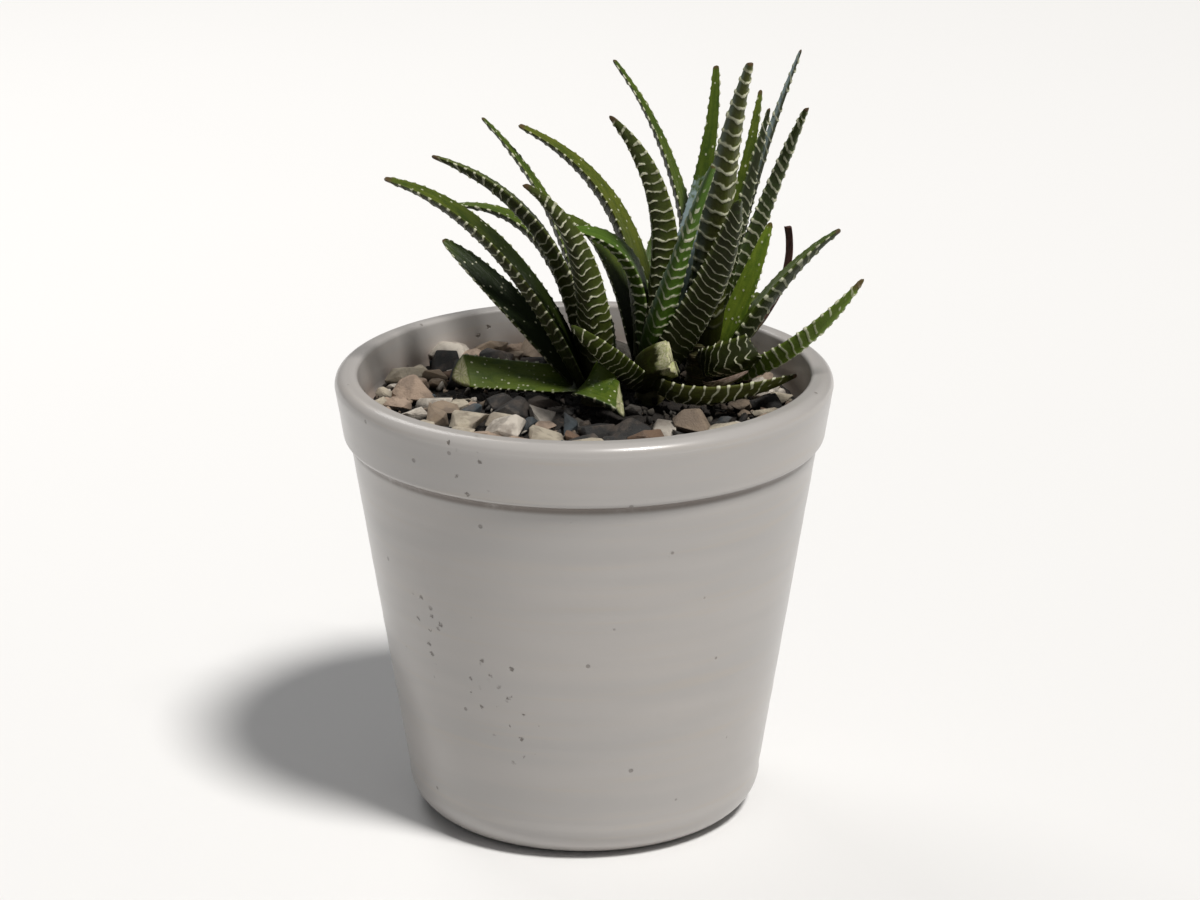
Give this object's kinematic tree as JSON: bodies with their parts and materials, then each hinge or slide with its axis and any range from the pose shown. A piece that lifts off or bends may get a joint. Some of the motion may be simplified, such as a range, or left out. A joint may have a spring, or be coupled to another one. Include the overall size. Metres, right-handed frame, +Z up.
{
  "type": "potted haworthia",
  "caption": "Small succulent with long pointed, white-ridged leaves on short stems, in a tapered round glazed ceramic pot with a rim band and a gravel top dressing.",
  "frame": {"origin": "the middle of the pot's flat base", "axes": "+Z up along the pot's axis, -Y towards the front from which the plant is seen, +X to the right"},
  "size_m": [0.1263, 0.12, 0.1872],
  "materials": {
    "glazed_ceramic": "gloss",
    "potting_mix": "matte",
    "gravel": "matte",
    "stem": "matte",
    "leaf": "satin",
    "dry_leaf": "matte"
  },
  "bodies": {
    "root": {"pot": "glazed_ceramic", "soil": "potting_mix", "gravel": "gravel", "left_stem": "stem", "middle_stem": "stem", "right_stem": "stem", "left_leaf_front": "leaf", "middle_leaf_short": "leaf", "left_leaf_long": "leaf", "middle_leaf_low": "leaf", "left_stub_side": "leaf", "left_stub_front": "leaf", "middle_stub_torn": "leaf", "left_leaf_broad": "leaf", "left_leaf_arched": "leaf", "left_leaf_bent": "leaf", "left_leaf_tall": "leaf", "left_leaf_rear_1": "leaf", "left_leaf_rear_2": "leaf", "left_leaf_rear_3": "leaf", "middle_leaf_beaded": "leaf", "middle_leaf_inner": "leaf", "middle_leaf_side": "leaf", "middle_leaf_wide": "leaf", "middle_leaf_silver": "leaf", "middle_leaf_dark": "leaf", "middle_leaf_pale": "leaf", "middle_leaf_rear": "leaf", "middle_leaf_front": "leaf", "right_leaf_long": "leaf", "right_stub_broken": "leaf", "right_leaf_low": "leaf", "right_bract": "dry_leaf", "right_leaf_spread": "leaf", "right_leaf_plain": "leaf", "right_leaf_slim": "leaf", "right_leaf_lean": "leaf", "right_leaf_outer": "leaf", "right_leaf_upright": "leaf", "right_leaf_top": "leaf", "right_leaf_dried": "dry_leaf", "right_leaf_rear_1": "leaf", "right_leaf_rear_2": "leaf", "right_leaf_rear_3": "leaf", "right_leaf_rear_4": "leaf"}
  },
  "joints": []
}
